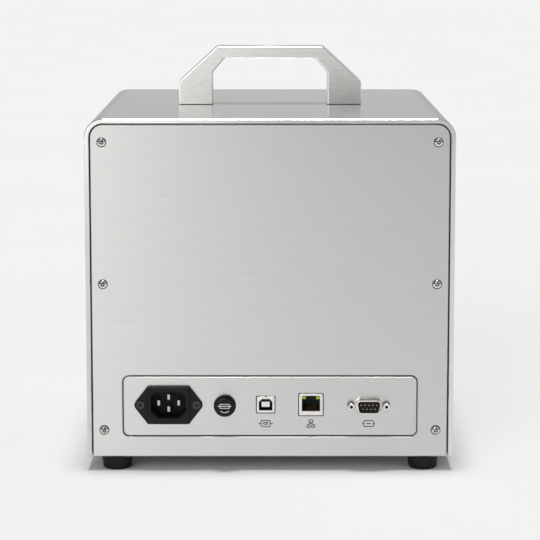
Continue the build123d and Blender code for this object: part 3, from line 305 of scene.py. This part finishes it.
def slot_materials():
    """One finished material for each slot of the record."""
    return {
        "stainless_sheet": brushed_metal("stainless_sheet", STEEL, "Z", 0.29, "Z"),
        "front_paint": brushed_metal("front_sheet", STEEL, "Z", 0.36, "Z"),
        # the port contacts' gold darkened to stand for the shade deep in the sockets: painted shade
        "painted_shade_gold": polished_metal("painted_shade_gold", (0.16, 0.10, 0.03), 0.3),
        "dark_screw": plated_sheet("dark_screw", (0.07, 0.07, 0.075), 0.30),
        # black painted on faces deep in gaps, sockets, round screw heads and inside shells: painted
        # shade; in the USB socket it also stands for the socket's real black plastic housing
        "painted_shade_black": moulded_plastic("painted_shade_black", (0.008, 0.008, 0.009), 0.5),
        "cover_sheet": brushed_metal("cover_sheet", STEEL, "Y", 0.21, "Y"),
        "handle_metal": brushed_metal("handle_metal", (0.96, 0.95, 0.935), "Z", 0.28, "Z"),
        "polished_steel": polished_metal("polished_steel", (0.78, 0.77, 0.76)),
        "zinc_steel": plated_sheet("zinc_steel", (0.60, 0.60, 0.61)),
        "foot_rubber": foot_rubber("foot_rubber", (0.006, 0.006, 0.006)),
        "inlet_plastic": moulded_plastic("inlet_plastic", (0.007, 0.007, 0.008), 0.42),
        "fuse_plastic": moulded_plastic("fuse_plastic", (0.006, 0.006, 0.007), 0.30, 2200.0, 0.00001),
        "tin_plate": plated_sheet("tin_plate", (0.80, 0.79, 0.77), 0.26),
        "blade_metal": polished_metal("blade_metal", (0.50, 0.49, 0.47), 0.2),
        "gold_plate": polished_metal("gold_plate", (0.62, 0.42, 0.15), 0.2),
        "white_plastic": moulded_plastic("white_plastic", (0.90, 0.90, 0.88), 0.35),
        "port_plastic": moulded_plastic("port_plastic", (0.014, 0.014, 0.016), 0.38),
        "light_lens": lens_light("light_lens", (0.30, 0.42, 0.02), 0.04),
        "dark_glass": dark_glass("dark_glass", (0.010, 0.006, 0.012)),
        "bezel_plastic": moulded_plastic("bezel_plastic", (0.035, 0.036, 0.040), 0.48, 1300.0),
        "pad_skin": pad_skin("pad_skin", (0.030, 0.032, 0.036)),
        "cup_plastic": moulded_plastic("cup_plastic", (0.80, 0.80, 0.78), 0.28, 900.0, 0.00001),
        "knob_plastic": moulded_plastic("knob_plastic", (0.030, 0.030, 0.033), 0.40),
        "button_plastic": moulded_plastic("button_plastic", (0.62, 0.63, 0.64), 0.30, 1800.0, 0.00001),
        "status_lens": lens_light("status_lens", (0.10, 0.75, 0.15), 0.6),
        "circuit_board": circuit_board("circuit_board", (0.02, 0.14, 0.05)),
        "stage_aluminium": satin_anodised("stage_aluminium", (0.66, 0.66, 0.67)),
        "black_aluminium": satin_anodised("black_aluminium", (0.03, 0.03, 0.033)),
        "ground_rod": polished_metal("ground_rod", (0.70, 0.70, 0.70), 0.16),
        "motor_steel": moulded_plastic("motor_steel", (0.03, 0.03, 0.032), 0.35),
        "coated_glass": coated_glass("coated_glass", (0.85, 0.90, 0.95)),
        "frame_aluminium": satin_anodised("frame_aluminium", (0.62, 0.62, 0.62)),
    }


# nodes whose finish differs from their slot's own
SPECIAL_SLOTS = {
    "outer_cover": "cover_sheet",
    "inlet_screws": "dark_screw",
    # the contacts' darkened gold is painted shade
    "port_contacts": "painted_shade_gold",
}

# height of the rebate whose faces are painted black, a painted shadow line
HANDLE_REBATE = 0.55 * MM       # the shadow line round the foot of each handle leg

# depth from the nearer end at which a part's faces start to be painted black, as painted shade in gaps,
# sockets and shell insides
PAINTED_SHADE_DEPTHS = {
    "usb_shell": 0.3 * MM,
    "serial_shell": 4.0 * MM,
    "serial_jackscrews": 0.6 * MM,
    "panel_screws": 1.3 * MM,
    "connector_plate": 0.4 * MM,
    "rear_panel": 0.4 * MM,
    "inlet_screws": 0.3 * MM,
}


def dress_nodes(materials):
    """Give each CAD node the finished material of its slot."""
    for subpart in frame["record"]["subparts"]:
        node = subpart["node"]
        name = SPECIAL_SLOTS.get(node, subpart["material_slot"])
        slots = frame["nodes"][node].data.materials
        slots.clear()
        slots.append(materials[name])


def paint_shade_on_faces(node, shade_paint, chosen):
    """Paint black, as painted shade, a node's faces whose middles are chosen."""
    data = frame["nodes"][node].data
    data.materials.append(shade_paint)
    for face in data.polygons:
        if chosen(face.center):
            face.material_index = 1


def paint_shade_in_gaps(shade_paint):
    """Paint black, as painted shade, the faces deep in gaps, sockets and shell insides, which hold no
    light, and the rebate round the foot of each handle leg as a painted shadow line.
    """
    for node, depth in PAINTED_SHADE_DEPTHS.items():
        low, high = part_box(node)
        front = low.y + depth
        back = high.y - depth
        paint_shade_on_faces(node, shade_paint, lambda middle: front < middle.y < back)
    # faces within the rebate at the foot of the handle legs get the black: a painted shadow line
    rebate_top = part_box("outer_cover")[1].z + HANDLE_REBATE
    paint_shade_on_faces("carry_handle", shade_paint, lambda middle: middle.z < rebate_top)


# ---------------------------------------------------------------- printed symbols
INK_WIDTH = 0.62 * MM
CAP_INK_WIDTH = 0.5 * MM
INK_HEIGHT = 0.04 * MM
SYMBOL_DROP = 6.6 * MM          # from the bottom of the serial port to the middle of the symbols


def arc_points(center, radius, start, end, count=24):
    """Points on an arc, angles in degrees."""
    points = []
    for index in range(count + 1):
        angle = math.radians(start + (end - start) * index / count)
        points.append((center[0] + radius * math.cos(angle), center[1] + radius * math.sin(angle)))
    return points


def rounded_box_points(center, width, height, radius):
    """A closed outline with round corners."""
    points = []
    corners = ((1, 1, 0), (-1, 1, 90), (-1, -1, 180), (1, -1, 270))
    for side_x, side_z, start in corners:
        middle = (center[0] + side_x * (width / 2 - radius), center[1] + side_z * (height / 2 - radius))
        points += arc_points(middle, radius, start, start + 90, 4)
    return points


def printed(name, strokes, x, y, z, body, material, width=INK_WIDTH):
    """Thin raised ink lines on a face that looks towards -Y. Strokes are (points in mm, closed)."""
    curve = bpy.data.curves.new(name, "CURVE")
    curve.dimensions = "3D"
    curve.bevel_depth = width / 2
    curve.bevel_resolution = 2
    curve.use_fill_caps = True
    for points, closed in strokes:
        spline = curve.splines.new("POLY")
        spline.points.add(len(points) - 1)
        spline.use_cyclic_u = closed
        for point, (across, up) in zip(spline.points, points):
            point.co = (across * MM, 0, up * MM, 1)
    line = bpy.data.objects.new(name, curve)
    SCENE.collection.objects.link(line)
    line.location = (x, y, z)
    line.scale = (1, 2 * INK_HEIGHT / width, 1)
    curve.materials.append(material)
    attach(line, body)
    return line


def port_symbols():
    """Plain pictograms under the three data ports: a port face, a network tree, a serial port."""
    dark_ink = ink("dark_ink", (0.012, 0.012, 0.014))
    face_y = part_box("connector_plate")[0].y - INK_HEIGHT / 2
    symbol_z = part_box("serial_shell")[0].z - SYMBOL_DROP
    data = [
        (rounded_box_points((0, 0), 6.4, 4.6, 0.8), True),
        (rounded_box_points((0, 0.2), 3.0, 1.2, 0.2), True),
        ([(-5.2, 0), (-3.4, 0)], False),
        ([(3.4, 0), (5.2, 0)], False),
    ]
    network = [
        (rounded_box_points((0, 1.7), 2.4, 1.9, 0.2), True),
        (rounded_box_points((-1.7, -1.9), 2.2, 1.7, 0.2), True),
        (rounded_box_points((1.7, -1.9), 2.2, 1.7, 0.2), True),
        ([(0, 0.8), (0, -0.1)], False),
        ([(-1.7, -1.0), (-1.7, -0.1), (1.7, -0.1), (1.7, -1.0)], False),
    ]
    serial = [
        (rounded_box_points((0, 0), 7.0, 4.2, 1.0), True),
        ([(-4.6, 0), (-3.6, 0)], False),
        ([(3.6, 0), (4.6, 0)], False),
        ([(-1.8, 0), (1.8, 0)], False),
    ]
    ports = (("usb_shell", data), ("network_shield", network), ("serial_shell", serial))
    for node, strokes in ports:
        low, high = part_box(node)
        printed(node + "_symbol", strokes, (low.x + high.x) / 2, face_y, symbol_z, "case", dark_ink)


def fuse_symbol():
    """The generic fuse symbol over a small arc, printed on the cap."""
    white_ink = ink("white_ink", (0.80, 0.80, 0.78))
    low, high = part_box("fuse_cap")
    strokes = [
        (rounded_box_points((0, 0.9), 6.6, 2.9, 0.2), True),
        ([(-4.9, 0.9), (4.9, 0.9)], False),
        (arc_points((0, 0.8), 4.4, 228, 312, 16), False),
    ]
    middle = (low + high) / 2
    face_y = low.y - INK_HEIGHT / 2
    printed("fuse_cap_symbol", strokes, middle.x, face_y, middle.z, "fuse_cap", white_ink, CAP_INK_WIDTH)


# ---------------------------------------------------------------- soft forehead pad
PAD_START = 1.6 * MM            # how much smaller the pad starts before it is inflated
PAD_VOXEL = 4 * MM
PAD_HELD = 3 * MM               # how far from its back the pad is held
PAD_PRESSURE = 4
PAD_MOST = 4 * MM               # the furthest that a point may move
PAD_STEPS = 20
PAD_RINGS = 9
PAD_AROUND = 72
PAD_SIDE = 0.25                 # the share of its depth that is side, before the crown starts
PAD_CROWN = 0.8                 # powers that square off the crown, the ends, and the top and bottom
PAD_ENDS = 0.35
PAD_EDGES = 0.6


def signed_power(value, power):
    """A power that keeps the value's sign."""
    return math.copysign(abs(value) ** power, value)


def pad_shape(low, high):
    """A crowned closed form with round ends, flat at the back."""
    mesh = bmesh.new()
    half = (high - low) / 2
    middle = (high + low) / 2
    loops = []
    for ring in range(PAD_RINGS):
        angle = math.radians(90 * ring / (PAD_RINGS - 1))
        inset = 1 - math.sin(angle)
        crown = math.sin(math.radians(90) - angle) ** PAD_CROWN
        depth = low.y + (high.y - low.y) * (PAD_SIDE + (1 - PAD_SIDE) * crown)
        grow_x = half.x - inset * half.z
        grow_z = half.z * (1 - inset)
        loop = []
        for index in range(PAD_AROUND):
            turn = 2 * math.pi * index / PAD_AROUND
            across = signed_power(math.cos(turn), PAD_ENDS)
            up = signed_power(math.sin(turn), PAD_EDGES)
            loop.append(mesh.verts.new((middle.x + across * grow_x, depth, middle.z + up * grow_z)))
        loops.append(loop)
    back = [mesh.verts.new((corner.co.x, low.y, corner.co.z)) for corner in loops[-1]]
    loops.append(back)
    for first, second in zip(loops, loops[1:]):
        for index in range(PAD_AROUND):
            following = (index + 1) % PAD_AROUND
            mesh.faces.new((first[index], first[following], second[following], second[index]))
    mesh.faces.new(loops[0])
    mesh.faces.new(list(reversed(back)))
    bmesh.ops.recalc_face_normals(mesh, faces=mesh.faces)
    return mesh


def forehead_pad(materials):
    """The soft pad: inflated cloth over foam, held at its flat back."""
    low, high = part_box("forehead_pad")
    shrink = Vector((PAD_START, 0, PAD_START))
    shape = pad_shape(low + shrink, high - shrink - Vector((0, PAD_START, 0)))
    data = bpy.data.meshes.new("soft_forehead_pad")
    shape.to_mesh(data)
    shape.free()
    pad = bpy.data.objects.new("soft_forehead_pad", data)
    SCENE.collection.objects.link(pad)
    bpy.context.view_layer.objects.active = pad
    remesh = pad.modifiers.new("remesh", "REMESH")
    remesh.mode = "VOXEL"
    remesh.voxel_size = PAD_VOXEL
    apply_modifier(pad, remesh)
    inflate(pad, low.y)
    smooth = pad.modifiers.new("smooth", "SUBSURF")
    smooth.levels = 1
    smooth.render_levels = 1
    apply_modifier(pad, smooth)
    for face in pad.data.polygons:
        face.use_smooth = True
    pad.data.materials.append(materials["pad_skin"])
    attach(pad, "case")
    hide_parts("forehead_pad")


def apply_modifier(piece, modifier):
    """Fix a modifier's result into the mesh."""
    with bpy.context.temp_override(object=piece, active_object=piece, selected_objects=[piece]):
        bpy.ops.object.modifier_apply(modifier=modifier.name)


def inflate(pad, back_y):
    """A short cloth run under pressure, with its back held and its movement capped."""
    rest = [vertex.co.copy() for vertex in pad.data.vertices]
    held = pad.vertex_groups.new(name="held")
    back = [vertex.index for vertex in pad.data.vertices if vertex.co.y < back_y + PAD_HELD]
    held.add(back, 1.0, "REPLACE")
    cloth = pad.modifiers.new("cloth", "CLOTH")
    cloth.settings.use_pressure = True
    cloth.settings.uniform_pressure_force = PAD_PRESSURE
    cloth.settings.effector_weights.gravity = 0
    cloth.settings.vertex_group_mass = "held"
    cloth.point_cache.frame_end = PAD_STEPS
    for step in range(1, PAD_STEPS + 1):
        SCENE.frame_set(step)
    apply_modifier(pad, cloth)
    for vertex, start in zip(pad.data.vertices, rest):
        move = vertex.co - start
        if move.length > PAD_MOST:
            vertex.co = start + move * (PAD_MOST / move.length)
    SCENE.frame_set(1)


# ---------------------------------------------------------------- floor, light and camera
FLOOR_REACH = 16.0
FLOOR_SHADES = ((0.875, 0.875, 0.875), (0.885, 0.885, 0.885))


def studio_floor():
    """A plain pale floor that fills the view."""
    mesh = bpy.data.meshes.new("floor")
    corners = [(x * FLOOR_REACH, y * FLOOR_REACH, 0) for x, y in ((-1, -1), (1, -1), (1, 1), (-1, 1))]
    mesh.from_pydata(corners, [], [(0, 1, 2, 3)])
    floor = bpy.data.objects.new("floor", mesh)
    SCENE.collection.objects.link(floor)
    graph = Graph("floor_paint", roughness=0.9)
    cloud = graph.noise(graph.place(), 3.0)
    graph.link(graph.blend(graph.spread(cloud, 0.0, 1.0), *FLOOR_SHADES), "Base Color")
    graph.set("Specular IOR Level", 0.0)
    mesh.materials.append(graph.material)


# brightness of the studio's walls behind the camera, from its far left to its far right
WALL_STOPS = (
    (0.0, 0.02),
    (0.12, 0.04),
    (0.22, 1.0),
    (0.34, 3.70),
    (0.435, 3.20),
    (0.475, 0.10),
    (0.66, 0.10),
    (0.78, 0.80),
    (1.0, 0.02),
)
WALL_SCALE = 2.0                # keeps the ramp's greys clear of its upper limit
WALL_EDGE = {"From Min": 0.1, "From Max": -0.2}         # where the backdrop gives way to the walls
CEILING_EDGE = {"From Min": 0.35, "From Max": 0.8}      # where both give way to the overhead light
BACKDROP_LIGHT = 0.52
ZENITH_LIGHT = 0.30
HORIZON_LIGHT = 0.88            # what a low view sees beyond the floor's edge
SUN_STRENGTH = 1.88
SUN_ANGLE = 13


def studio_world():
    """A soft surround: a bright wall at the rear left, dark flags at both sides, pale overhead."""
    world = bpy.data.worlds.new("studio")
    SCENE.world = world
    world.use_nodes = True
    nodes = Nodes(world.node_tree, "Background")
    direction = nodes.add("ShaderNodeTexCoord").outputs["Generated"]
    parts = nodes.add("ShaderNodeSeparateXYZ", {0: direction}).outputs
    across = nodes.math("MULTIPLY_ADD", parts["X"], 0.5, 0.5)
    wall = nodes.add("ShaderNodeValToRGB", {0: across})
    ramp = wall.color_ramp
    for _ in WALL_STOPS[2:]:
        ramp.elements.new(0.5)
    for element, (place, light) in zip(ramp.elements, WALL_STOPS):
        element.position = place
        grey = light / WALL_SCALE
        element.color = (grey, grey, grey, 1)
    behind = nodes.add("ShaderNodeMapRange", {"Value": parts["Y"], **WALL_EDGE}).outputs[0]
    wall_light = nodes.math("MULTIPLY", wall.outputs["Color"], WALL_SCALE)
    level = nodes.add("ShaderNodeMix", {0: behind, 2: BACKDROP_LIGHT, 3: wall_light}).outputs[0]
    overhead = nodes.add("ShaderNodeMapRange", {"Value": parts["Z"], **CEILING_EDGE}).outputs[0]
    light = nodes.add("ShaderNodeMix", {0: overhead, 2: level, 3: ZENITH_LIGHT}).outputs[0]
    seen = nodes.add("ShaderNodeLightPath").outputs["Is Camera Ray"]
    nodes.link(nodes.add("ShaderNodeMix", {0: seen, 2: light, 3: HORIZON_LIGHT}).outputs[0], "Strength")
    nodes.set("Color", (1.0, 0.995, 0.985, 1))


def studio_lights():
    """A wide soft overhead light."""
    overhead = bpy.data.lights.new("overhead", "SUN")
    overhead.energy = SUN_STRENGTH
    overhead.angle = math.radians(SUN_ANGLE)
    lamp = bpy.data.objects.new("overhead", overhead)
    SCENE.collection.objects.link(lamp)


CAMERA_DISTANCE = 1.7456        # from the middle of the case
CAMERA_HEIGHT = 0.3823
CAMERA_PITCH = 8.473            # degrees down
CAMERA_LENS = 152.74            # mm, on a 36 mm sensor


def studio_camera(middle):
    """The camera stands behind the case, a little above it, looking slightly down."""
    camera_data = bpy.data.cameras.new("camera")
    camera_data.sensor_width = 36
    camera_data.lens = CAMERA_LENS
    camera_data.clip_end = 60
    camera = bpy.data.objects.new("camera", camera_data)
    camera.location = (0, middle.y - CAMERA_DISTANCE, CAMERA_HEIGHT)
    camera.rotation_euler = (math.radians(90 - CAMERA_PITCH), 0, 0)
    SCENE.collection.objects.link(camera)
    SCENE.camera = camera


def build():
    low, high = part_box("outer_cover")
    middle = (low + high) / 2
    studio_camera(middle)
    studio_world()
    studio_floor()
    studio_lights()
    materials = slot_materials()
    dress_nodes(materials)
    # black on the deep faces of gaps, sockets and shells: painted shade
    paint_shade_in_gaps(materials["painted_shade_black"])
    port_symbols()
    fuse_symbol()
    forehead_pad(materials)
    SCENE.view_settings.view_transform = "Standard"


build()
